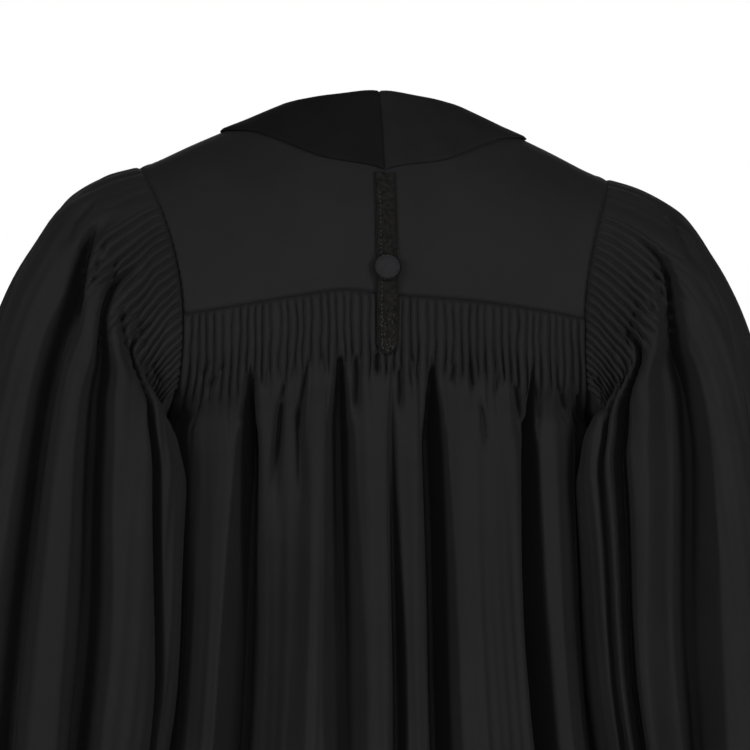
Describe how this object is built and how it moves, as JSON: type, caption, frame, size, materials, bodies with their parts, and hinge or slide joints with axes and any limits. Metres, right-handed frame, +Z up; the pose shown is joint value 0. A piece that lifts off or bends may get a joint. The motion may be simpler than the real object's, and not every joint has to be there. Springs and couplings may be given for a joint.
{
  "type": "clergy robe",
  "caption": "Full-length black pulpit gown with fluted back and wide fluted sleeves on a plain yoke, a shaped collar, and a braid with a covered button down the centre back.",
  "frame": {"origin": "on the shoulder line at the middle of the neck opening, where the wearer's neck and shoulders hold the robe up", "axes": "+Z up, -Y out of the robe's front, +X towards the wearer's left"},
  "size_m": [0.8971, 0.5948, 1.3912],
  "materials": {
    "robe_cloth": "matt black woven cloth",
    "collar_cloth": "black napped cloth",
    "braid_cloth": "black ribbed braid",
    "button_cloth": "black cloth over a dome"
  },
  "bodies": {
    "root": {"yoke": "robe_cloth", "back": "robe_cloth", "front_left": "robe_cloth", "front_right": "robe_cloth", "sleeve_left": "robe_cloth", "sleeve_right": "robe_cloth", "front_placket": "robe_cloth", "collar_left": "collar_cloth", "collar_right": "collar_cloth", "back_braid": "braid_cloth", "back_button": "button_cloth"}
  },
  "joints": []
}
